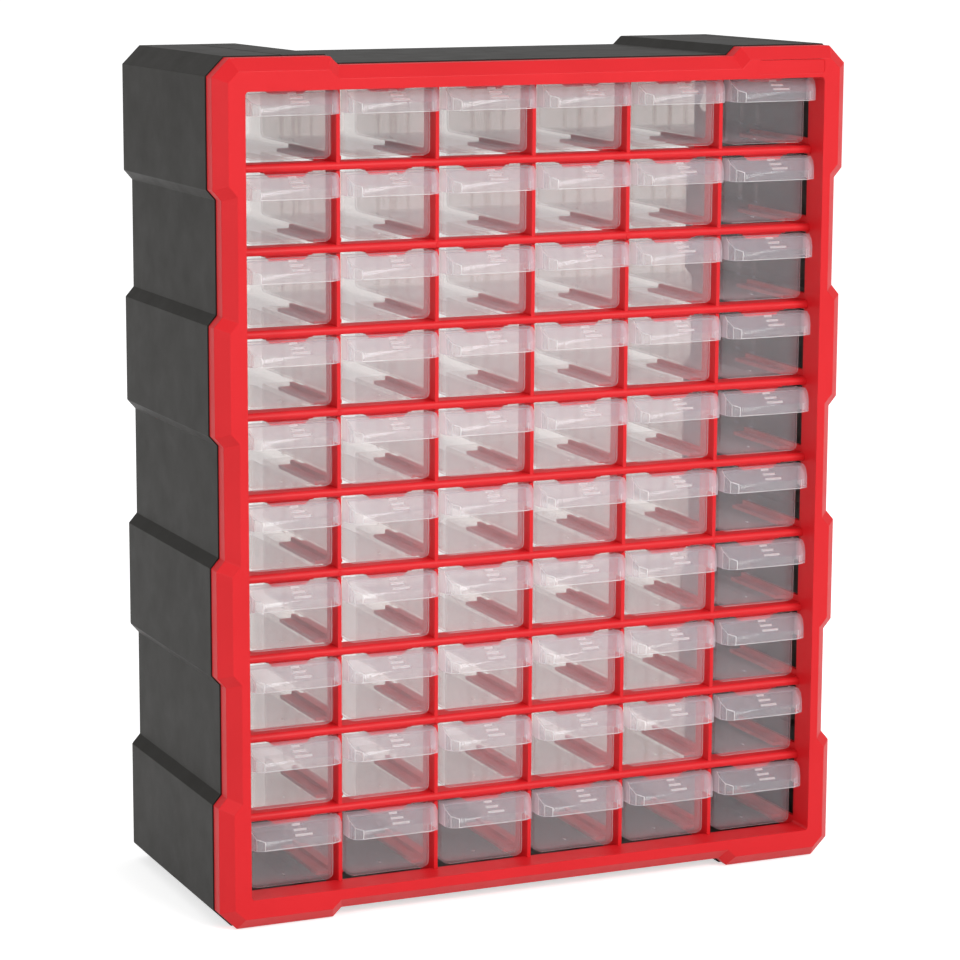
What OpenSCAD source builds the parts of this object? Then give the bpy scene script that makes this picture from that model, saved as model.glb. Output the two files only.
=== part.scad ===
// Wall or bench cabinet with rows of small slide-out storage drawers.
// Millimetres, +Z up, front towards -Y, origin under the middle of the base.
// Depths are counted back from the flat front face of the front frame.

/* [Cabinet] */
// Overall width, across the raised blocks of the casing
cabinet_w = 380; // [340:1:420]
// Overall height, from the feet to the top blocks
cabinet_h = 475; // [425:1:525]
// Overall depth, from the front frame's face to the casing's back edge
cabinet_d = 160; // [140:1:200]

/* [Drawer grid] */
// Number of drawers side by side
columns = 6; // [3:1:6]
// Number of drawers one above another
rows = 10; // [5:1:10]
// Distance from the cabinet's side to the opening that the drawers fill
side_margin = 17; // [15:0.5:30]
// Distance from the cabinet's top, and from its base, to that opening
end_margin = 18; // [17.6:0.2:40]
// Height of a shelf bar between two rows
bar_h = 5; // [3:0.1:7]
// Depth of a shelf bar, front to back
bar_d = 6.5; // [5:0.1:9]
// How far the front of the shelf bars is set back
bar_setback = 13.5; // [12:0.1:14]
// How far back the web behind each bar reaches
web_reach = 27; // [22:0.5:30]
// Thickness of that web
web_t = 1.6; // [1:0.1:2]
// Radius of the gate marks that moulding left on eight crossings of the bars
gate_r = 1.3; // [0.8:0.1:1.8]
// How far a gate mark stands out
gate_h = 0.25; // [0.1:0.05:0.5]
// Thickness of the divider plates and of the runner fins
divider_t = 2.2; // [1.5:0.1:3]
// How far the front of the divider plates is set back
divider_setback = 14.8; // [14.6:0.1:16]
// Depth of a divider plate, front to back
divider_d = 16.2; // [10:0.1:24]
// Rounding between a divider plate's back edge and the runner fin that it stands on
divider_r = 3; // [1:0.5:5]

/* [Runners] */
// How far back the runner fins reach
runner_reach = 87; // [60:1:110]
// Depth at which the ledges under the drawers start
ledge_start = 31; // [24:1:40]
// Width of a ledge, measured out from its fin
ledge_w = 7; // [6.5:0.1:9]
// Thickness of a ledge
ledge_t = 2; // [1.2:0.1:2.4]
// Height of a fin above the top of its shelf bar
fin_rise = 3.9; // [2.5:0.1:6]
// How far a fin reaches down beside its shelf bar
fin_drop = 2.1; // [1:0.1:3]
// Running gap between a drawer's floor and its ledges
slide_gap = 0.3; // [0.2:0.05:0.6]

/* [Stop tabs] */
// Width of a stop tab where it leaves the bar
tab_w = 25.2; // [16:0.1:30]
// How much each end of a tab slants in
tab_slant = 3.1; // [0:0.1:5]
// How far a tab hangs below its bar
tab_drop = 2.8; // [2:0.1:3.5]
// Gap between a tab and a closed drawer's front wall
tab_gap = 0.3; // [0.2:0.05:0.6]
// How much thinner a bar is beside its tabs
bar_relief = 0.8; // [0.4:0.1:1.2]
// Width of full bar left on each side of a tab
tab_margin = 1.2; // [0.5:0.1:3]

/* [Stepped outline] */
// Length of the raised block at each end of the sides
corner_block = 70; // [60:0.5:75]
// Length of the two raised blocks in the middle of the sides
middle_block = 59.5; // [45:0.5:65]
// Length of the raised blocks at each end of the top and of the base
end_block = 67.3; // [50:0.1:90]
// Height of a raised block above the recess beside it
step_h = 4.8; // [3:0.1:5.5]
// Length of the slope from a block down to a side recess
step_run = 5.5; // [4:0.1:7]
// Length of the slope from a block down to the recess of the top or base
end_step_run = 5; // [4:0.1:7]
// Size of the cut across the four outer corners
corner_cut = 10.2; // [9:0.1:14]

/* [Casing] */
// Wall thickness of the casing
casing_t = 2.2; // [1.6:0.1:3]
// Depth at which the casing starts, behind the front frame
casing_setback = 15.5; // [12:0.1:18]
// How much lower the casing's top is at the back than at the front
casing_taper = 1.8; // [0:0.1:3]
// Rounding of the casing's back edge
back_round = 4; // [2:0.5:6]
// Width of the flange that turns in at the casing's back
flange_w = 15; // [13:0.5:15.5]
// Radius of a keyhole's entry hole
keyhole_r = 4.5; // [3.5:0.1:4.7]
// Radius of a keyhole's hanging slot
keyslot_r = 2.3; // [1.8:0.1:3]
// Height of the slot's end above the middle of its entry hole
keyslot_rise = 9; // [7:0.5:12]
// Distance of the keyholes' entry from the casing's side
keyhole_in = 8.6; // [8:0.1:8.8]
// Distance of the keyholes' entry below the casing's top
keyhole_down = 44; // [35:1:50]
// Width of the grooves along the top of the upper blocks
groove_w = 1.2; // [0.8:0.1:2]
// Depth of those grooves
groove_d = 0.7; // [0.4:0.1:1]
// Distance of the left block's groove from the casing's left side
groove_left = 42.5; // [30:0.5:45]
// Distance of the right block's outer groove from the casing's right side
groove_right = 13.6; // [12:0.1:20]
// Distance between the right block's two grooves
groove_step = 7.2; // [4:0.1:12]

/* [Front frame] */
// How far the frame stands in from the casing's outline
reveal = 0.7; // [0.4:0.1:1]
// Width of the bevel round the frame's front, seen from the front
bevel_w = 6.7; // [4:0.1:8]
// Depth of that bevel
bevel_d = 7; // [4:0.1:9]
// Wall thickness of the frame
frame_t = 2.2; // [1.6:0.1:3]
// How far the walls round the drawers reach back
well_d = 18; // [17.8:0.1:19]
// Rounding of the corners of the opening
opening_r = 2; // [1:0.5:4]
// How far the plug lip reaches into the casing
lip_d = 8; // [5:0.5:12]
// Gap between the plug lip and the casing's wall
lip_gap = 0.3; // [0.2:0.05:0.5]
// Width of the label panel at the top right
panel_w = 42.2; // [30:0.1:44]
// Height of the label panel
panel_h = 8; // [6:0.1:8.2]
// Depth of the label panel
panel_d = 0.5; // [0.3:0.1:1]
// Gap between the label panel and the opening's top edge
panel_up = 2.2; // [2:0.1:2.4]

/* [Drawer] */
// Gap on each side between a drawer and its divider plates
side_gap = 1.4; // [1:0.1:2]
// Gap between a drawer's top and the bar above
top_gap = 0.6; // [0.4:0.1:1]
// Height of a drawer's bottom above its shelf bar
floor_gap = 1.9; // [1.5:0.1:2.2]
// Depth of a closed drawer's front wall
drawer_setback = 15; // [14.9:0.1:15.1]
// Free depth behind a closed drawer, up to the casing's back edge
back_gap = 15; // [8:1:40]
// Wall and floor thickness of the tub
tub_t = 1.3; // [1:0.1:1.6]
// Rounding of the tub's lower side edges
tub_r = 6; // [3:0.5:8]
// Rounding of the tub's four upright corners
tub_corner = 4.8; // [2:0.1:6]
// How far the hood stands out on each side of the tub
hood_over = 0.3; // [0:0.1:0.6]
// How far the hood reaches forward of the front wall
hood_reach = 13.8; // [11:0.1:14]
// Length of the flat land along the hood's top
hood_land = 5; // [3:0.1:7]
// How far the hood's slope drops
hood_fall = 7.1; // [4:0.1:9]
// Height of the lip below the slope
lip_h = 5.3; // [4:0.1:7]
// Wall thickness of the hood
hood_t = 1.3; // [1:0.1:1.6]
// Size of the hood's front corners, seen from above
hood_r = 6.2; // [4:0.1:9]
// Depth of the first divider slot behind the front wall
slot_first = 53; // [30:1:60]
// Distance between the two divider slots
slot_step = 19; // [10:1:40]
// Gap between the two ribs of a divider slot
slot_gap = 1.6; // [1:0.1:2.4]
// Thickness of a slot rib
slot_rib_t = 0.9; // [0.6:0.1:1.4]
// How far a slot rib stands in from the side wall
slot_rib_w = 2; // [1:0.1:3]
// Height of the ribs' rounded feet above the floor
slot_foot = 3; // [2:0.5:5]
// Radius of the round gate mark on the floor
spot_r = 1.1; // [0.8:0.1:2]
// Height of that mark
spot_h = 0.3; // [0.2:0.05:0.5]
// Distance of that mark behind the front wall
spot_in = 14; // [8:0.5:24]
// Number of grip ribs on the hood
grips = 3; // [1:1:3]
// Length of the top grip rib
grip_l = 4.7; // [3:0.1:8]
// How much longer each grip rib is than the one above it
grip_growth = 2.7; // [0:0.1:4]
// Drop from the hood's top to the first grip rib
grip_drop = 1.3; // [0.8:0.1:1.6]
// Drop from one grip rib to the next
grip_step = 2.25; // [1.5:0.05:2.5]
// How far the grip ribs start to the left of the drawer's middle
grip_start = 2.3; // [0:0.1:5]
// Width of a grip rib
grip_w = 0.8; // [0.4:0.1:1]
// Height of a grip rib above the slope
grip_h = 0.3; // [0.2:0.05:0.5]

/* [Hidden] */
arc_steps = 5;     // flat faces along each rounded corner
hood_steps = 2;    // flat faces across each front corner of the hood
joint_eps = 0.01;  // how far a cut runs past the face it opens

face_y = -cabinet_d / 2;
opening_w = cabinet_w - 2 * side_margin;
opening_h = cabinet_h - 2 * end_margin;
column_pitch = opening_w / columns;
row_pitch = (opening_h + bar_h) / rows;
side_recess = (cabinet_h - 2 * corner_block - 2 * middle_block - 6 * step_run) / 3;
drawer_w = column_pitch - divider_t - 2 * side_gap;
drawer_h = row_pitch - bar_h - top_gap - floor_gap;
tub_l = cabinet_d - drawer_setback - back_gap;
hood_w = drawer_w + 2 * hood_over;
ledge_top = floor_gap - slide_gap;
tab_y = drawer_setback + tub_t + tab_gap;
hood_slope = hood_fall / (hood_reach - hood_land); // drop per millimetre of depth

// Top of the shelf bar, or sill, that row r (1 at the top) stands on
function shelf_z(r) = end_margin + (rows - r) * row_pitch;
// Middle of column c (1 at the left), and the line between columns c and c + 1
function column_x(c) = (c - (columns + 1) / 2) * column_pitch;
function divider_x(c) = (c - columns / 2) * column_pitch;

function drawer_name(r, c) = str("drawer_r", r, "_c", c);

// ---- Outlines, as lists of [x, z] points that run anticlockwise ----

// One quarter of the stepped outline: from the right side's middle up to the top's middle
quarter = [
    [cabinet_w / 2 - step_h, side_recess / 2],
    [cabinet_w / 2, side_recess / 2 + step_run],
    [cabinet_w / 2, side_recess / 2 + step_run + middle_block],
    [cabinet_w / 2 - step_h, side_recess / 2 + 2 * step_run + middle_block],
    [cabinet_w / 2 - step_h, cabinet_h / 2 - corner_block - step_run],
    [cabinet_w / 2, cabinet_h / 2 - corner_block],
    [cabinet_w / 2, cabinet_h / 2 - corner_cut],
    [cabinet_w / 2 - corner_cut, cabinet_h / 2],
    [cabinet_w / 2 - end_block, cabinet_h / 2],
    [cabinet_w / 2 - end_block - end_step_run, cabinet_h / 2 - step_h]
];
last = len(quarter) - 1;
outline = [for (p = concat(
    quarter,
    [for (i = [last:-1:0]) [-quarter[i].x, quarter[i].y]],
    [for (p = quarter) -p],
    [for (i = [last:-1:0]) [quarter[i].x, -quarter[i].y]]
)) [p.x, p.y + cabinet_h / 2]];

// Outward direction of the side from a to b, and the corner between two sides moved in by d
function outward(a, b) = [b.y - a.y, a.x - b.x] / norm(b - a);
function corner_in(b, m, n, d) = b - d * (m + n) / (1 + m * n);
function inset(points, d) = let (k = len(points)) [for (i = [0:k - 1])
    let (a = points[(i + k - 1) % k], b = points[i], c = points[(i + 1) % k])
    corner_in(b, outward(a, b), outward(b, c), d)];

// Corner arc round centre c, from angle a0 over a quarter turn
function arc(c, r, a0, steps = arc_steps) = [for (i = [0:steps])
    c + r * [cos(a0 + 90 * i / steps), sin(a0 + 90 * i / steps)]];
function round_box(x0, z0, x1, z1, r) = concat(
    arc([x1 - r, z1 - r], r, 0), arc([x0 + r, z1 - r], r, 90),
    arc([x0 + r, z0 + r], r, 180), arc([x1 - r, z0 + r], r, 270));
// Box with only its two lower corners rounded
function cradle(x0, z0, x1, z1, r) = concat(
    [[x1, z1], [x0, z1]],
    arc([x0 + r, z0 + r], r, 180), arc([x1 - r, z0 + r], r, 270));

// ---- Building blocks ----

// Extrudes an [x, z] outline between two depths behind the frame's face
module between(d0, d1) {
    translate([0, face_y + d1, 0]) rotate([90, 0, 0]) linear_extrude(d1 - d0) children();
}

// Extrudes a [depth, z] profile across the cabinet between two x positions
module across(x0, x1) {
    translate([x0, face_y, 0]) rotate([90, 0, 90]) linear_extrude(x1 - x0) children();
}

// Closed ring skinned over a loop of outlines, each one a list of [x, y, z] points
module skin(rings) {
    n = len(rings[0]);
    m = len(rings);
    polyhedron(
        points = [for (ring = rings) each ring],
        faces = [for (i = [0:m - 1], j = [0:n - 1])
            [i * n + j, i * n + (j + 1) % n, (i + 1) % m * n + (j + 1) % n, (i + 1) % m * n + j]]
    );
}

function at_depth(points, d) = [for (p = points) [p.x, face_y + d, p.y]];

// ---- Casing ----

// The casing tapers towards the middle of its base as it goes back
function casing_ring(d, in) = let (
    k = 1 - casing_taper / cabinet_h * (d - casing_setback) / (cabinet_d - casing_setback)
) at_depth([for (p = inset(outline, in)) p * k], d);

module keyhole(x) {
    z = cabinet_h - keyhole_down;
    between(cabinet_d - 2 * casing_t, cabinet_d + 1) {
        translate([x, z]) circle(r = keyhole_r, $fn = 48);
        translate([x, z + keyslot_rise]) circle(r = keyslot_r, $fn = 48);
        translate([x - keyslot_r, z]) square([2 * keyslot_r, keyslot_rise]);
    }
}

module top_groove(x) {
    translate([x - groove_w / 2, face_y + casing_setback - 1, cabinet_h])
        rotate([-atan(casing_taper / (cabinet_d - casing_setback)), 0, 0])
            translate([0, 0, -groove_d])
                cube([groove_w, cabinet_d - casing_setback - 4 * back_round, 2 * groove_d]);
}

module casing() {
    color([0.24, 0.235, 0.22]) difference() {
        skin(concat(
            [casing_ring(casing_setback, 0)],
            [for (i = [0:3]) casing_ring(
                cabinet_d - back_round * (1 - sin(30 * i)), back_round * (1 - cos(30 * i)))],
            [casing_ring(cabinet_d, flange_w), casing_ring(cabinet_d - casing_t, flange_w)],
            [casing_ring(cabinet_d - casing_t, back_round), casing_ring(cabinet_d - back_round, casing_t)],
            [casing_ring(casing_setback, casing_t)]
        ));
        for (side = [-1, 1]) keyhole(side * (cabinet_w / 2 - keyhole_in));
        top_groove(groove_left - cabinet_w / 2);
        for (in = [groove_right, groove_right + groove_step]) top_groove(cabinet_w / 2 - in);
    }
}

// ---- Front frame ----

// Slab whose front edge is bevelled all round by a three-sided ring, which runs past both ends
module bevelled_slab(out, back) {
    over = 1;
    grow = over * bevel_w / bevel_d;
    difference() {
        between(0, back) polygon(out);
        skin([
            at_depth(inset(out, -grow), -over),
            at_depth(inset(out, -grow), bevel_d + over),
            at_depth(inset(out, bevel_w + grow), -over)
        ]);
    }
}

module stop_tab(x, z) {
    translate([x, 0, z]) between(tab_y, well_d) polygon([
        [tab_w / 2, 0], [-tab_w / 2, 0],
        [-tab_w / 2 + tab_slant, -tab_drop], [tab_w / 2 - tab_slant, -tab_drop]
    ]);
}

module front_frame() {
    out = inset(outline, reveal);
    lip_out = inset(outline, casing_t + lip_gap);
    lip_in = inset(lip_out, frame_t);
    face_in = inset(out, bevel_w + frame_t / 2);
    well = round_box(-opening_w / 2 - frame_t, end_margin - frame_t,
        opening_w / 2 + frame_t, end_margin + opening_h + frame_t, opening_r + frame_t);
    color([0.86, 0.13, 0.15]) {
        difference() {
            union() {
                bevelled_slab(out, casing_setback);
                between(casing_setback, casing_setback + lip_d) polygon(lip_out);
            }
            difference() {
                union() {
                    between(frame_t, bevel_d + frame_t) polygon(face_in);
                    between(bevel_d + frame_t - joint_eps, casing_setback + lip_d + 1) polygon(lip_in);
                }
                between(0, well_d) polygon(well);
            }
            between(-1, casing_setback + lip_d + 1) polygon(round_box(
                -opening_w / 2, end_margin, opening_w / 2, end_margin + opening_h, opening_r));
            between(-1, panel_d) label_outline();
        }
        for (c = [1:columns]) stop_tab(column_x(c), end_margin + opening_h);
    }
}

module label_outline() {
    x1 = opening_w / 2;
    z0 = end_margin + opening_h + panel_up;
    polygon(round_box(x1 - panel_w, z0, x1, z0 + panel_h, 2));
}

// ---- Shelf rails: each carries the ledges and fins that the drawers above it run on ----

// Runner behind the bar, its fin's left face at x and its ledges on the sides asked for;
// drop is how far the fin reaches down
module runner(x, z, left, right, drop) {
    translate([x, face_y + ledge_start, z + ledge_top - ledge_t])
        translate([-left * ledge_w, 0, 0])
            cube([divider_t + (left + right) * ledge_w, runner_reach - ledge_start, ledge_t]);
    across(x, x + divider_t) polygon([
        [well_d, z - drop], [runner_reach, z - drop],
        [runner_reach, z + fin_rise], [well_d, z + fin_rise]
    ]);
}

// Foot of a divider plate: it stands on the sill, or is sunk into a round-nosed bar
module fin_foot(x, z, sunk) {
    across(x, x + divider_t) polygon([
        [divider_setback, z - sunk], [well_d, z - sunk],
        [well_d, z + fin_rise], [divider_setback, z + fin_rise]
    ]);
}

// Round-nosed bar over the whole opening, thinned beside each tab
module shelf_bar(z) {
    nose = bar_h / 2;
    edge = (column_pitch - divider_t) / 2;
    relief_w = edge - tab_w / 2 - tab_margin;
    difference() {
        across(-opening_w / 2, opening_w / 2) polygon(concat(
            arc([bar_setback + nose, z - nose], nose, 90),
            arc([bar_setback + nose, z - nose], nose, 180),
            [[bar_setback + bar_d, z - bar_h], [bar_setback + bar_d, z]]
        ));
        for (c = [1:columns], x = [-edge, edge - relief_w])
            translate([column_x(c) + x, face_y + bar_setback - 1, z - bar_h - 1])
                cube([relief_w, bar_d + 2, bar_relief + 1]);
    }
    for (c = [1:columns]) stop_tab(column_x(c), z - bar_h);
}

// Thin web from which the runners start, its underside at z
module web(z) {
    translate([-opening_w / 2 - divider_t, face_y + well_d, z])
        cube([opening_w + 2 * divider_t, web_reach - well_d, web_t]);
}

// Round mark on the nose of the bar under row r, where it crosses the line right of column c
module gate_mark(r, c) {
    between(bar_setback - gate_h, bar_setback + bar_d / 2)
        translate([divider_x(c), shelf_z(r) - bar_h / 2]) circle(r = gate_r, $fn = 24);
}

// One row's runners with the feet between them, sunk as deep as the bar allows
module runners(z, sunk, drop) {
    for (c = [1:columns - 1]) {
        fin_foot(divider_x(c) - divider_t / 2, z, sunk);
        runner(divider_x(c) - divider_t / 2, z, 1, 1, drop);
    }
    runner(-opening_w / 2 - divider_t, z, 0, 1, drop);
    runner(opening_w / 2, z, 1, 0, drop);
}

// Two marks in every second bar: the outermost crossings, or the next ones in near top and base
module gate_marks() {
    for (r = [2:2:rows - 2]) {
        line = abs(r - rows / 2) > rows / 5 ? floor(columns / 3) : 1;
        for (c = [line, columns - line]) gate_mark(r, c);
    }
}

module shelf_rails() {
    color([0.84, 0.12, 0.14]) {
        for (r = [1:rows - 1]) {
            shelf_bar(shelf_z(r));
            web(shelf_z(r) - web_t);
            runners(shelf_z(r), bar_h / 2, fin_drop);
        }
        // no drawer runs below the sill, so its web and fins reach lower, behind the frame
        web(shelf_z(rows) - bar_h);
        runners(shelf_z(rows), 0, bar_h);
        gate_marks();
    }
}

// ---- Column dividers: one plate between each two drawers ----

divider_side = concat(
    [[divider_setback, 0], [divider_setback, row_pitch - bar_h - fin_rise],
        [divider_setback + divider_d, row_pitch - bar_h - fin_rise]],
    arc([divider_setback + divider_d + divider_r, divider_r], divider_r, 180)
);

module column_dividers() {
    color([0.84, 0.12, 0.14]) for (r = [1:rows], c = [1:columns - 1])
        translate([0, 0, shelf_z(r) + fin_rise])
            across(divider_x(c) - divider_t / 2, divider_x(c) + divider_t / 2) polygon(divider_side);
}

// ---- Drawer: drawn closed in the middle column, its bottom at height 0 ----

// The tub's form, all its walls moved in by t, up to the height given
module tub_core(t, top) {
    intersection() {
        between(drawer_setback, drawer_setback + tub_l)
            polygon(cradle(-drawer_w / 2 + t, t, drawer_w / 2 - t, top, tub_r - t));
        translate([0, face_y, t]) linear_extrude(top - t) polygon(round_box(
            -drawer_w / 2 + t, drawer_setback + t,
            drawer_w / 2 - t, drawer_setback + tub_l - t, tub_corner - t));
    }
}

module tub() {
    difference() {
        tub_core(0, drawer_h);
        tub_core(tub_t, drawer_h + 1);
    }
}

// Hood's side profile as [depth, z], moved in by t; back is where it ends
function hood_side(t, back) = let (
    d0 = drawer_setback - hood_reach,
    rise = t * norm([1, hood_slope])
) [
    [d0 + t, drawer_h - hood_fall - rise + t * hood_slope],
    [d0 + t, drawer_h - hood_fall - lip_h - t],
    [back, drawer_h - hood_fall - lip_h - t],
    [back, drawer_h - t],
    [drawer_setback - hood_land + (rise - t) / hood_slope, drawer_h - t]
];

// Hood's outline from above as [x, depth], with its two front corners faceted
function hood_plan(t, back) = let (
    w = hood_w / 2 - t, r = hood_r - t, f = drawer_setback - hood_reach + t
) concat(
    [[w, back], [-w, back]],
    arc([-w + r, f + r], r, 180, hood_steps), arc([w - r, f + r], r, 270, hood_steps));

// The part of the hood that lies more than t inside its skin, up to the depth given
module hood_core(t, back) {
    intersection() {
        across(-hood_w / 2, hood_w / 2) polygon(hood_side(t, back));
        translate([0, face_y, -1]) linear_extrude(drawer_h + 1) polygon(hood_plan(t, back));
    }
}

// The hood wraps round the edges of the front wall and is open underneath
module hood() {
    difference() {
        hood_core(0, drawer_setback + tub_t);
        hood_core(hood_t, drawer_setback);
    }
}

module grip_ribs() {
    half = grip_w / 2;
    for (i = [0:grips - 1]) {
        drop = grip_drop + i * grip_step;
        d = drawer_setback - hood_land - drop / hood_slope;
        z = drawer_h - drop;
        across(-grip_start, -grip_start + grip_l + i * grip_growth) polygon([
            [d - half, z - hood_slope * half - hood_t / 2],
            [d + half, z + hood_slope * half - hood_t / 2],
            [d + half, z + hood_slope * half + grip_h],
            [d - half, z - hood_slope * half + grip_h]
        ]);
    }
}

// One rib of a divider slot on the right wall, its foot rounded towards the tub
module slot_rib(d) {
    x1 = drawer_w / 2 - tub_t / 2;
    x0 = drawer_w / 2 - tub_t - slot_rib_w;
    foot = tub_t + slot_foot;
    between(d, d + slot_rib_t) polygon(concat(
        [[x1, drawer_h], [x0, drawer_h]],
        arc([x0 + slot_rib_w, foot + slot_rib_w], slot_rib_w, 180),
        [[x1, foot]]
    ));
}

module slot_ribs() {
    for (y = [slot_first, slot_first + slot_step], side = [-1, 1]) {
        d = drawer_setback + y + side * (slot_gap + slot_rib_t) / 2 - slot_rib_t / 2;
        slot_rib(d);
        mirror([1, 0, 0]) slot_rib(d);
    }
}

module floor_spot() {
    translate([0, face_y + drawer_setback + spot_in, tub_t / 2])
        cylinder(r = spot_r, h = tub_t / 2 + spot_h, $fn = 24);
}

module drawer() {
    color([0.86, 0.84, 0.85, 0.6]) {
        tub();
        floor_spot();
        slot_ribs();
        hood();
        grip_ribs();
    }
}

module drawer_at(r, c) {
    translate([column_x(c), 0, shelf_z(r) + floor_gap]) drawer();
}

module drawers_bottom_row() {
    for (c = [1:columns]) drawer_at(rows, c);
}

casing();
front_frame();
shelf_rails();
column_dividers();
for (r = [1:rows - 1], c = [1:columns])
    drawer_at(r, c);
drawers_bottom_row();
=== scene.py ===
# %% [markdown]
# # A cabinet of sixty small drawers
#
# The cabinet is four kinds of moulding: a dark casing, a red front frame, the red grid of bars and
# plates inside it, and sixty frosted drawers. Their shapes and joints come ready made from the packed
# frame. This lesson dresses them: it softens their edges, gives each plastic its finish, and sets up
# the camera, the floor and the light.

import math

import bmesh
import bpy
from mathutils import Matrix, Vector


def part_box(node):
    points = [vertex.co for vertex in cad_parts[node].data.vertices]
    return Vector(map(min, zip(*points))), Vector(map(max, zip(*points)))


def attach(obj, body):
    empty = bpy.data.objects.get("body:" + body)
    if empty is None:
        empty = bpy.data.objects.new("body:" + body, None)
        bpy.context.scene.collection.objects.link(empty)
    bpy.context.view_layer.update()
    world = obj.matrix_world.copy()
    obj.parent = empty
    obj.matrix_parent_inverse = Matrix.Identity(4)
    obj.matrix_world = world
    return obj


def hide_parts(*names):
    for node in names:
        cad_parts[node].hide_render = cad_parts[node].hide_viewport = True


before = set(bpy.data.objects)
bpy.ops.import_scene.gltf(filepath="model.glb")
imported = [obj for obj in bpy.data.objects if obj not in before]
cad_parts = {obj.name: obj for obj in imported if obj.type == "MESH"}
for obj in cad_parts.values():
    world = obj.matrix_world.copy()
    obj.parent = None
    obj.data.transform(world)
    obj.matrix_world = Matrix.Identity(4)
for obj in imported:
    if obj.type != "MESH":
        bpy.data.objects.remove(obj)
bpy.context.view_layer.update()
MM = 0.001

# %% [markdown]
# ## The camera
#
# A camera object looks along its own -Z, with +X to the right and +Y up. So its matrix is built from
# three directions: right, up, and the one that points back from the target to the camera. A long lens
# far away keeps the cabinet's edges nearly parallel.

# %% Place the camera
scene = bpy.context.scene
AZIMUTH = math.radians(-24.03)
ELEVATION = math.radians(10.53)
ROLL = math.radians(0.26)
TARGET = Vector((-0.03819, -0.080, 0.24172))
DISTANCE = 1.85197
LENS_MM = 126.52
SENSOR_MM = 36.0

back = Vector((
    math.sin(AZIMUTH) * math.cos(ELEVATION),
    -math.cos(AZIMUTH) * math.cos(ELEVATION),
    math.sin(ELEVATION),
))
level = Vector((math.cos(AZIMUTH), math.sin(AZIMUTH), 0.0))
upright = back.cross(level)
right = level * math.cos(ROLL) + upright * math.sin(ROLL)
up = upright * math.cos(ROLL) - level * math.sin(ROLL)

camera_data = bpy.data.cameras.new("camera")
camera_data.lens = LENS_MM
camera_data.sensor_width = SENSOR_MM
camera = bpy.data.objects.new("camera", camera_data)
scene.collection.objects.link(camera)
turn = Matrix((right, up, back)).transposed().to_4x4()
camera.matrix_world = Matrix.Translation(TARGET + DISTANCE * back) @ turn
scene.camera = camera
print("camera at", [round(v, 3) for v in camera.matrix_world.translation])

# %% [markdown]
# ## Softened edges
#
# No moulded edge is perfectly sharp: a radius of a few tenths of a millimetre catches a thin line of
# light, and that line is what makes plastic look real. So each node's mesh is copied and its loose
# triangles are merged. Faces that lie in one plane become one face, and the edges that turn more than
# a limit get a narrow bevel. The result is shaded smooth, apart from its creases.

# %% Soften a mesh
MERGE_DISTANCE = 0.002 * MM
FLAT_TURN = math.radians(0.5)
SOFT_TURN = math.radians(21)
CREASE_TURN = math.radians(30)
BEVEL_STRIPS = 2
ROUND_PROFILE = 0.5


def bevel_edges(bm, edges, radius):
    """Rounds the given edges and returns the new strips of faces."""
    made = bmesh.ops.bevel(
        bm, geom=edges, offset=radius, offset_type="OFFSET", segments=BEVEL_STRIPS,
        affect="EDGES", profile=ROUND_PROFILE, material=-1, clamp_overlap=True,
    )
    return made["faces"]


def soften(mesh, radius, stays=None, bold=None, bold_radius=0.0):
    """Merges, cleans and bevels a mesh in place, and marks its faces smooth.

    Edges for which stays() is true keep sharp. Those for which bold() is true get the bold radius.
    """
    bm = bmesh.new()
    bm.from_mesh(mesh)
    bmesh.ops.remove_doubles(bm, verts=bm.verts, dist=MERGE_DISTANCE)
    bmesh.ops.dissolve_limit(bm, angle_limit=FLAT_TURN, verts=bm.verts, edges=bm.edges)
    rounded = set()
    if bold:
        strips = bevel_edges(bm, [edge for edge in bm.edges if bold(edge)], bold_radius)
        rounded = {edge for face in strips for edge in face.edges}
    sharp = [
        edge for edge in bm.edges
        if edge not in rounded and edge.is_manifold and edge.calc_face_angle(0.0) > SOFT_TURN
        and not (stays and stays(edge))
    ]
    bevel_edges(bm, sharp, radius)
    bmesh.ops.dissolve_degenerate(bm, dist=MERGE_DISTANCE, edges=bm.edges)
    for face in bm.faces:
        face.smooth = True
    for edge in bm.edges:
        edge.smooth = not edge.is_manifold or edge.calc_face_angle(0.0) < CREASE_TURN
    bm.to_mesh(mesh)
    bm.free()
    return mesh


# %% [markdown]
# A softened mesh becomes a piece that rides on one of the frame's bodies. The Weighted Normal
# modifier lets the large flat faces rule the shading, so that they look flat right up to a bevel.

# %% Turn a mesh into a piece
def add_piece(name, mesh, finishes, body):
    """Puts a mesh in the scene as a piece that rides on a body."""
    piece = bpy.data.objects.new(name, mesh)
    scene.collection.objects.link(piece)
    indices = [face.material_index for face in mesh.polygons]
    mesh.materials.clear()
    for finish in finishes:
        mesh.materials.append(finish)
    mesh.polygons.foreach_set("material_index", indices)
    flats = piece.modifiers.new("flat_faces", "WEIGHTED_NORMAL")
    flats.keep_sharp = True
    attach(piece, body)
    return piece


def dressed(node, radius, material, body, stays=None):
    """A softened copy of a node that stands for it in the picture."""
    mesh = soften(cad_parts[node].data.copy(), radius, stays)
    piece = add_piece(node + "_shell", mesh, [material], body)
    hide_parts(node)
    print(node, "->", len(mesh.polygons), "faces")
    return piece


# %% [markdown]
# ## Materials
#
# All patterns read Object coordinates, which are in metres, so a noise scale of 1000 gives spots of
# about a millimetre. A few helpers keep the node trees short: each adds one node and returns its
# output.

# %% Node helpers
def new_material(name):
    """An empty node material with its tree, object coordinates and output."""
    material = bpy.data.materials.new(name)
    material.use_nodes = True
    tree = material.node_tree
    tree.nodes.clear()
    place = tree.nodes.new("ShaderNodeTexCoord")
    output = tree.nodes.new("ShaderNodeOutputMaterial")
    return material, tree, place.outputs["Object"], output


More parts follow.
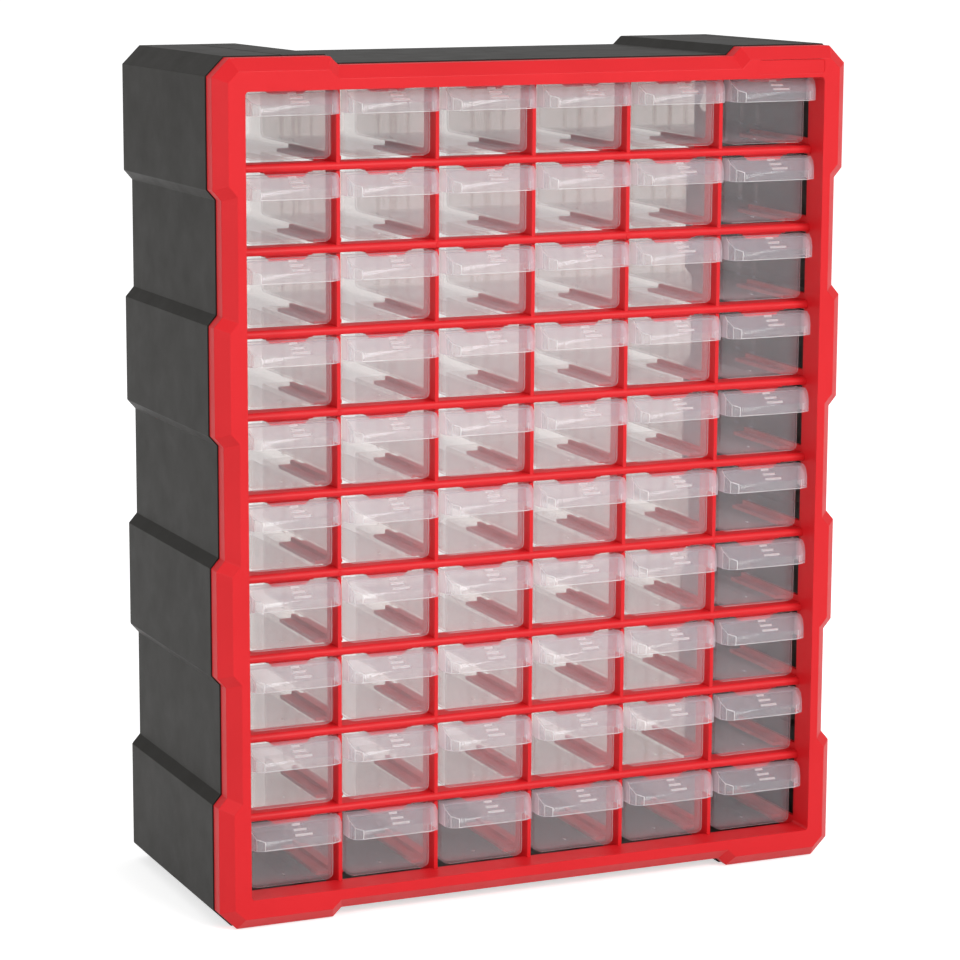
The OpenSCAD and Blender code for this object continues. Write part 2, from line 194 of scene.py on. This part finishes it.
def noise(tree, place, scale, detail, roughness=0.5):
    """Noise of a given scale on object coordinates."""
    node = tree.nodes.new("ShaderNodeTexNoise")
    node.inputs["Scale"].default_value = scale
    node.inputs["Detail"].default_value = detail
    node.inputs["Roughness"].default_value = roughness
    tree.links.new(place, node.inputs["Vector"])
    return node.outputs["Fac"]


def remap(tree, socket, low, high, start, stop):
    """Maps a value from start..stop to low..high, and holds it there."""
    node = tree.nodes.new("ShaderNodeMapRange")
    node.inputs["From Min"].default_value = start
    node.inputs["From Max"].default_value = stop
    node.inputs["To Min"].default_value = low
    node.inputs["To Max"].default_value = high
    tree.links.new(socket, node.inputs["Value"])
    return node.outputs["Result"]


def calculate(tree, operation, *terms):
    """One step of arithmetic. Each term is a number or a socket."""
    node = tree.nodes.new("ShaderNodeMath")
    node.operation = operation
    for socket, term in zip(node.inputs, terms):
        if isinstance(term, float):
            socket.default_value = term
        else:
            tree.links.new(term, socket)
    return node.outputs["Value"]


def mix_colour(tree, factor, first, second):
    """Blends two colours by a factor socket."""
    node = tree.nodes.new("ShaderNodeMix")
    node.data_type = "RGBA"
    node.inputs["A"].default_value = (*first, 1.0)
    node.inputs["B"].default_value = (*second, 1.0)
    tree.links.new(factor, node.inputs["Factor"])
    return node.outputs["Result"]


def bump(tree, height, distance, strength):
    """A bump node fed by a height socket."""
    node = tree.nodes.new("ShaderNodeBump")
    node.inputs["Distance"].default_value = distance
    node.inputs["Strength"].default_value = strength
    tree.links.new(height, node.inputs["Height"])
    return node.outputs["Normal"]


def plain_shader(tree, kind, colour):
    """A shader of one kind and one colour."""
    node = tree.nodes.new(kind)
    node.inputs["Color"].default_value = (*colour, 1.0)
    return node.outputs[0]


def mix_shaders(tree, share, first, second):
    """Mixes two shaders by a share, which is a number or a socket."""
    mix = tree.nodes.new("ShaderNodeMixShader")
    if isinstance(share, float):
        mix.inputs["Fac"].default_value = share
    else:
        tree.links.new(share, mix.inputs["Fac"])
    tree.links.new(first, mix.inputs[1])
    tree.links.new(second, mix.inputs[2])
    return mix.outputs["Shader"]


# %% [markdown]
# ### Moulded plastic
#
# Solid-coloured plastic has a faint cloudiness from the flow of the melt, a fine satin grain, and
# gloss that varies a little where hands have rubbed it. The middle of each noise, from 0.3 to 0.7, is
# spread over the whole range, because noise seldom goes further.

# %% Solid plastics
NOISE_LOW, NOISE_HIGH = 0.3, 0.7
FLOW_SCALE = 22.0
RUB_SCALE = 55.0
GRAIN_SCALE = 2600.0
GRAIN_STRENGTH = 0.6
RUB_SMOOTHER, RUB_ROUGHER = 0.03, 0.04


def moulded_plastic(name, base, shade, roughness, sheen, grain):
    """Satin plastic: colour drifts between base and shade, grain is the bump's depth in metres."""
    material, tree, place, output = new_material(name)
    shader = tree.nodes.new("ShaderNodeBsdfPrincipled")
    flow = remap(
        tree, noise(tree, place, FLOW_SCALE, detail=3.0), 0.0, 1.0, NOISE_LOW, NOISE_HIGH
    )
    tree.links.new(mix_colour(tree, flow, base, shade), shader.inputs["Base Color"])
    rubbed = remap(
        tree, noise(tree, place, RUB_SCALE, detail=4.0, roughness=0.6),
        roughness - RUB_SMOOTHER, roughness + RUB_ROUGHER, NOISE_LOW, NOISE_HIGH,
    )
    tree.links.new(rubbed, shader.inputs["Roughness"])
    fine = noise(tree, place, GRAIN_SCALE, detail=1.0)
    tree.links.new(bump(tree, fine, grain, GRAIN_STRENGTH), shader.inputs["Normal"])
    shader.inputs["Specular IOR Level"].default_value = sheen
    tree.links.new(shader.outputs["BSDF"], output.inputs["Surface"])
    print(name, "has", len(tree.nodes), "nodes")
    return material


RED = (0.70, 0.014, 0.020)
RED_SHADE = (0.66, 0.012, 0.017)
CHARCOAL = (0.0225, 0.0205, 0.0175)
CHARCOAL_SHADE = (0.0200, 0.0182, 0.0155)
red_plastic = moulded_plastic(
    "red_plastic", RED, RED_SHADE, roughness=0.42, sheen=0.25, grain=0.00003
)
dark_plastic = moulded_plastic(
    "dark_plastic", CHARCOAL, CHARCOAL_SHADE, roughness=0.44, sheen=0.12, grain=0.00005
)

# %% [markdown]
# ### Frosted drawer plastic
#
# A natural polypropylene wall does three things at once. Most light goes straight through it. Some is
# scattered by the milkiness of the plastic, more where the wall is seen edge-on and the way through
# it is longer. And each face mirrors a little, more at a glancing angle. Layer Weight's Facing value
# is 0 face-on and 1 edge-on, so a power of it gives both the milk and the mirror share.
#
# A glass shader would bend the light in each of the many thin walls, which renders slowly and hardly
# shows. So here the light goes straight on. What the milk scatters goes mostly forwards, so a wall
# hardly dims the light behind it: for shadow rays it counts as nearly clear.

# %% Frosted plastic
WARM_TINT = (1.0, 0.988, 0.978)
PASSING_TINT = (0.97, 0.965, 0.96)
EVEN_BLEND = 0.5
FORWARD_SHARE = 0.65
MILK_POWER = 1.5
GLOSS_POWER = 5.0


def frosted_plastic(name, milk, cloud, gloss, gloss_roughness):
    """See-through plastic.

    cloud and gloss are pairs: the share face-on, and what is added to it edge-on.
    """
    material, tree, place, output = new_material(name)
    weight = tree.nodes.new("ShaderNodeLayerWeight")
    weight.inputs["Blend"].default_value = EVEN_BLEND
    facing = weight.outputs["Facing"]

    def rising(power, pair):
        """A share that rises from its face-on value as the wall turns edge-on."""
        return calculate(
            tree, "MULTIPLY_ADD", calculate(tree, "POWER", facing, power), pair[1], pair[0]
        )

    cloudy = mix_shaders(
        tree, FORWARD_SHARE,
        plain_shader(tree, "ShaderNodeBsdfDiffuse", milk),
        plain_shader(tree, "ShaderNodeBsdfTranslucent", milk),
    )
    clear = plain_shader(tree, "ShaderNodeBsdfTransparent", WARM_TINT)
    wall = mix_shaders(tree, rising(MILK_POWER, cloud), clear, cloudy)
    mirror = tree.nodes.new("ShaderNodeBsdfAnisotropic")
    mirror.inputs["Roughness"].default_value = gloss_roughness
    solid = mix_shaders(tree, rising(GLOSS_POWER, gloss), wall, mirror.outputs["BSDF"])
    passing = plain_shader(tree, "ShaderNodeBsdfTransparent", PASSING_TINT)
    ray = tree.nodes.new("ShaderNodeLightPath")
    tree.links.new(
        mix_shaders(tree, ray.outputs["Is Shadow Ray"], solid, passing),
        output.inputs["Surface"],
    )
    print(name, "has", len(tree.nodes), "nodes")
    return material


# %% [markdown]
# Three of these make one drawer. The tub is the clearest, the hood is thicker and milkier, and the
# edge finish is a painted highlight: near-white milk and strong gloss on the narrow strips along the
# edges. A ray to the back of the cabinet passes many walls, so Cycles has to let it through more of
# them than usual.

# %% The three drawer plastics
MILK = (0.86, 0.89, 0.97)
# Near-white milk of the edge strips, for their painted highlight.
HIGHLIGHT_MILK = (1.0, 0.99, 1.0)
MANY_WALLS = 48
clear_plastic = frosted_plastic(
    "clear_plastic", MILK, cloud=(0.065, 0.22), gloss=(0.02, 0.30), gloss_roughness=0.16
)
hood_plastic = frosted_plastic(
    "hood_plastic", MILK, cloud=(0.16, 0.34), gloss=(0.04, 0.60), gloss_roughness=0.20
)
# The edge finish paints a highlight: near-white milk with strong gloss.
painted_highlight_plastic = frosted_plastic(
    "painted_highlight_plastic", HIGHLIGHT_MILK, cloud=(0.80, 0.18), gloss=(0.25, 0.60), gloss_roughness=0.24
)
scene.cycles.transparent_max_bounces = MANY_WALLS

# %% [markdown]
# ## The cabinet's own nodes
#
# Casing, frame, rails and plates become softened copies on the cabinet's body. A plate stands flush
# on a runner's fin, so a bevel there would cut a false groove between them. Those edges stay sharp.

# %% Dress the cabinet
BODY = "cabinet"
SILL_Z = 18.0 * MM
ROW_PITCH = 44.4 * MM
FIN_RISE = 3.9 * MM
SEAM_SLACK = 0.05 * MM


def on_seam(edge):
    """True where a divider plate stands on a runner's fin."""
    return all(
        abs((vert.co.z - SILL_Z - FIN_RISE + ROW_PITCH / 2) % ROW_PITCH - ROW_PITCH / 2)
        < SEAM_SLACK
        for vert in edge.verts
    )


dressed("casing", 0.5 * MM, dark_plastic, BODY)
dressed("front_frame", 0.4 * MM, red_plastic, BODY)
dressed("shelf_rails", 0.25 * MM, red_plastic, BODY, on_seam)
dressed("column_dividers", 0.25 * MM, red_plastic, BODY, on_seam)

# %% [markdown]
# ## One drawer
#
# Every drawer is the same moulding, so one is softened first. Its hood's outer corners, the lip's rim
# and the outline of its front wall get a bold radius that catches a line of light, and its strips
# later get the painted highlight of the edge finish. The creases that cross the hood and the three
# small grip ribs stay crisp. Edges are told apart by where they lie and by how wide the faces beside
# them are.

# %% Soften one drawer
first_low, first_high = (Vector(corner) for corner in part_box("drawer_r1_c1"))
HOOD_REACH = 13.8 * MM
LIP_DROP = 12.4 * MM
FRONT_WALL = first_low.y + HOOD_REACH
LIP_FOOT = first_high.z - LIP_DROP
SLACK = 0.1 * MM
BEFORE_WALL = 0.5 * MM
GRIP_WIDTH = 0.9 * MM
BOLD_WIDTH = 1.05 * MM
BOLD_LENGTH = 2.0 * MM
DRAWER_RADIUS = 0.18 * MM
BOLD_RADIUS = 0.80 * MM
MOSTLY = 0.9


def face_width(face):
    """A face's area over its longest side, so a long strip gives its width."""
    return face.calc_area() / max(edge.calc_length() for edge in face.edges)


def narrowest(edge):
    """The width of the narrowest face beside an edge."""
    return min(face_width(face) for face in edge.link_faces)


def furthest_back(edge):
    """The y of the end of an edge that lies further back."""
    return max(vert.co.y for vert in edge.verts)


def crosses_hood(edge):
    """True for the creases that run from side to side above the lip's rim."""
    run = edge.verts[1].co - edge.verts[0].co
    return (
        abs(run.x) > MOSTLY * run.length
        and min(vert.co.z for vert in edge.verts) > LIP_FOOT + SLACK
        and furthest_back(edge) < FRONT_WALL - BEFORE_WALL
    )


def stands_out(edge):
    """True for the hood's outer corners, the lip's rim and the outline of the front wall."""
    return (
        edge.is_manifold and edge.is_convex and edge.calc_length() > BOLD_LENGTH
        and edge.calc_face_angle(0.0) > SOFT_TURN
        and not crosses_hood(edge)
        and furthest_back(edge) < FRONT_WALL + SLACK
        and narrowest(edge) > BOLD_WIDTH
    )


def stays_crisp(edge):
    """True for the hood's cross creases and the edges of its three small grip ribs."""
    return crosses_hood(edge) or (
        furthest_back(edge) < FRONT_WALL - BEFORE_WALL and narrowest(edge) < GRIP_WIDTH
    )


drawer_mesh = soften(
    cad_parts["drawer_r1_c1"].data.copy(), DRAWER_RADIUS, stays_crisp, stands_out,
    BOLD_RADIUS,
)
print("one drawer:", len(drawer_mesh.polygons), "faces")

# %% [markdown]
# ### A finish for each face
#
# Next each face gets one of the three plastics. The strips along the edges get the edge finish, a
# painted highlight, and which of them get it is picked by the way they face: on the hood not the ones
# that face up or to the right, and on the tub not the slot ribs and not the ones that face left. The
# grip ribs get the painted highlight all over. One cut behind the front wall keeps the hood's finish
# off the tub's side walls.

# %% Paint the drawer's faces
# The third finish paints a highlight on the edge strips and grip ribs.
CLEAR, MILKY, PAINTED_HIGHLIGHT = 0, 1, 2
EDGE_WIDTH = 0.85 * MM
WALL = 1.3 * MM
CUT_MERGE = 0.001 * MM
HOOD_SLOPE = 7.1 / 8.8
SLOPE_START = 5.0 * MM
PROUD = 0.05 * MM
RIB_INSET = (1.65 * MM, 3.8 * MM)
RIB_DEPTH = (51.0 * MM, 74.0 * MM)
SIDEWAYS = 0.1
SLIGHTLY = 0.05
LEFTWARDS = -0.2


def above_slope(point):
    """Height of a point above the hood's sloping face."""
    return point.z - first_high.z + HOOD_SLOPE * (FRONT_WALL - SLOPE_START - point.y)


def on_slot_rib(point):
    """True for the ribs of the divider slots, which stand in from the side walls."""
    inset = min(point.x - first_low.x, first_high.x - point.x)
    depth = point.y - FRONT_WALL
    return RIB_INSET[0] < inset < RIB_INSET[1] and RIB_DEPTH[0] < depth < RIB_DEPTH[1]


def finish_of(face):
    """Picks a face's finish: painted highlight on edges and grips, milky on hood, clear on tub."""
    middle = face.calc_center_median()
    in_hood = middle.y < FRONT_WALL + WALL and (
        middle.z > LIP_FOOT - SLACK or middle.y < FRONT_WALL - SLACK
    )
    if in_hood and above_slope(middle) > PROUD:
        return PAINTED_HIGHLIGHT
    # Which narrow strips get the painted highlight depends on the way they face.
    if face_width(face) < EDGE_WIDTH:
        if in_hood:
            faces_up = abs(face.normal.x) < SIDEWAYS and face.normal.z > SLIGHTLY
            return MILKY if faces_up or face.normal.x > SLIGHTLY else PAINTED_HIGHLIGHT
        return MILKY if on_slot_rib(middle) or face.normal.x < LEFTWARDS else PAINTED_HIGHLIGHT
    return MILKY if in_hood else CLEAR


bm = bmesh.new()
bm.from_mesh(drawer_mesh)
bmesh.ops.bisect_plane(
    bm, geom=bm.verts[:] + bm.edges[:] + bm.faces[:], dist=CUT_MERGE,
    plane_co=(0.0, FRONT_WALL + WALL, 0.0), plane_no=(0.0, 1.0, 0.0),
)
for face in bm.faces:
    face.material_index = finish_of(face)
bm.to_mesh(drawer_mesh)
bm.free()
print("one drawer:", len(drawer_mesh.polygons), "faces",
      sum(f.material_index == PAINTED_HIGHLIGHT for f in drawer_mesh.polygons), "bright")

# %% [markdown]
# ## Sixty drawers from one
#
# Linked copies would share one mesh and move as objects. But here every piece stays at the origin and
# its mesh holds its place, because the bodies of the frame do the moving. So each drawer gets its own
# copy of the mesh, moved by the distance between the two nodes' boxes. The bottom row is one node
# with six drawers, so its six places are spaced evenly over that node's box.

# %% Copy the drawer
COLUMNS = 6


def drawer_copy(name, offset, body):
    """A copy of the softened drawer, moved into place."""
    mesh = drawer_mesh.copy()
    mesh.transform(Matrix.Translation(offset))
    return add_piece(
        name, mesh, [clear_plastic, hood_plastic, painted_highlight_plastic], body
    )


drawer_nodes = [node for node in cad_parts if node.startswith("drawer_r")]
for node in drawer_nodes:
    shell = drawer_copy(node + "_shell", Vector(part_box(node)[0]) - first_low, node)
    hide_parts(node)

bottom_low, bottom_high = (Vector(corner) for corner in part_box("drawers_bottom_row"))
drawer_width = first_high.x - first_low.x
column_step = (bottom_high.x - bottom_low.x - drawer_width) / (COLUMNS - 1)
for column in range(COLUMNS):
    place = bottom_low - first_low + Vector((column * column_step, 0.0, 0.0))
    shell = drawer_copy("drawer_r10_c%d_shell" % (column + 1), place, "drawers_bottom_row")
    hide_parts("drawers_bottom_row")
print("drawers:", len(drawer_nodes) + COLUMNS)

# %% [markdown]
# ## The floor
#
# A large pale plane stands for a studio floor. It could be made to show as white with brighter lamps,
# but they would bleach the cabinet too. So instead it shines a little for the rays that look at it:
# most where the camera sees it directly, less through the frosted plastic, in reflections and in
# what the milk passes on. Other rays leave that shine out, so the cabinet keeps its soft shadow.

# %% Lay the floor
WHITE = (1.0, 1.0, 1.0)
FLOOR_PAINT = (0.84, 0.84, 0.84)
HALF_FLOOR = 40.0
OPEN_LIFT = 0.62
VEILED_LIFT = 0.40
floor_mesh = bpy.data.meshes.new("floor")
bm = bmesh.new()
bmesh.ops.create_grid(bm, x_segments=1, y_segments=1, size=HALF_FLOOR)
bm.to_mesh(floor_mesh)
bm.free()
floor = bpy.data.objects.new("floor", floor_mesh)
scene.collection.objects.link(floor)

floor_material, tree, place, output = new_material("floor")
ray = tree.nodes.new("ShaderNodeLightPath")
by_walls = remap(
    tree, ray.outputs["Transparent Depth"], OPEN_LIFT, VEILED_LIFT, start=0.0, stop=1.0
)
seen_lift = calculate(tree, "MULTIPLY", ray.outputs["Is Camera Ray"], by_walls)
mirrored_or_passed = calculate(
    tree, "MAXIMUM", ray.outputs["Is Glossy Ray"], ray.outputs["Is Transmission Ray"]
)
lift = tree.nodes.new("ShaderNodeEmission")
lift.inputs["Color"].default_value = (*WHITE, 1.0)
tree.links.new(
    calculate(tree, "MULTIPLY_ADD", mirrored_or_passed, VEILED_LIFT, seen_lift),
    lift.inputs["Strength"],
)
both = tree.nodes.new("ShaderNodeAddShader")
tree.links.new(plain_shader(tree, "ShaderNodeBsdfDiffuse", FLOOR_PAINT), both.inputs[0])
tree.links.new(lift.outputs["Emission"], both.inputs[1])
tree.links.new(both.outputs["Shader"], output.inputs["Surface"])
floor_mesh.materials.append(floor_material)
print("floor:", 2 * HALF_FLOOR, "m wide")

# %% [markdown]
# ## The light
#
# A pale world gives soft light from all round, stronger from above. One large lamp in front lifts the
# frame's face, and a narrow one at the left adds its reflection to the bright lines on the drawers'
# corners, which the edge finish also paints in as a highlight.

# %% Light the scene
LEVEL_SKY, TOP_SKY = 0.42, 0.64
world = bpy.data.worlds.new("world")
scene.world = world
world.use_nodes = True
sky = world.node_tree.nodes["Background"]
sky.inputs["Color"].default_value = (*WHITE, 1.0)
heading = world.node_tree.nodes.new("ShaderNodeTexCoord")
split = world.node_tree.nodes.new("ShaderNodeSeparateXYZ")
world.node_tree.links.new(heading.outputs["Generated"], split.inputs["Vector"])
world.node_tree.links.new(
    remap(world.node_tree, split.outputs["Z"], LEVEL_SKY, TOP_SKY, start=0.0, stop=1.0),
    sky.inputs["Strength"],
)


def add_lamp(name, place, aim, width, height, watts):
    """A rectangular lamp at a place, turned to face a point."""
    data = bpy.data.lights.new(name, "AREA")
    data.shape = "RECTANGLE"
    data.size = width
    data.size_y = height
    data.energy = watts
    lamp = bpy.data.objects.new(name, data)
    scene.collection.objects.link(lamp)
    aim_line = Vector(aim) - Vector(place)
    lamp.matrix_world = (
        Matrix.Translation(place) @ aim_line.to_track_quat("-Z", "Y").to_matrix().to_4x4()
    )
    print(name, "at", place, "with", watts, "W")
    return lamp


add_lamp("front_lamp", (0.9, -2.6, 1.9), (0.0, 0.0, 0.25), width=1.6, height=1.6, watts=60.0)
add_lamp("left_lamp", (-2.4, -1.3, 0.9), (0.0, -0.05, 0.25), width=0.25, height=1.4, watts=14.0)

scene.view_settings.view_transform = "Standard"
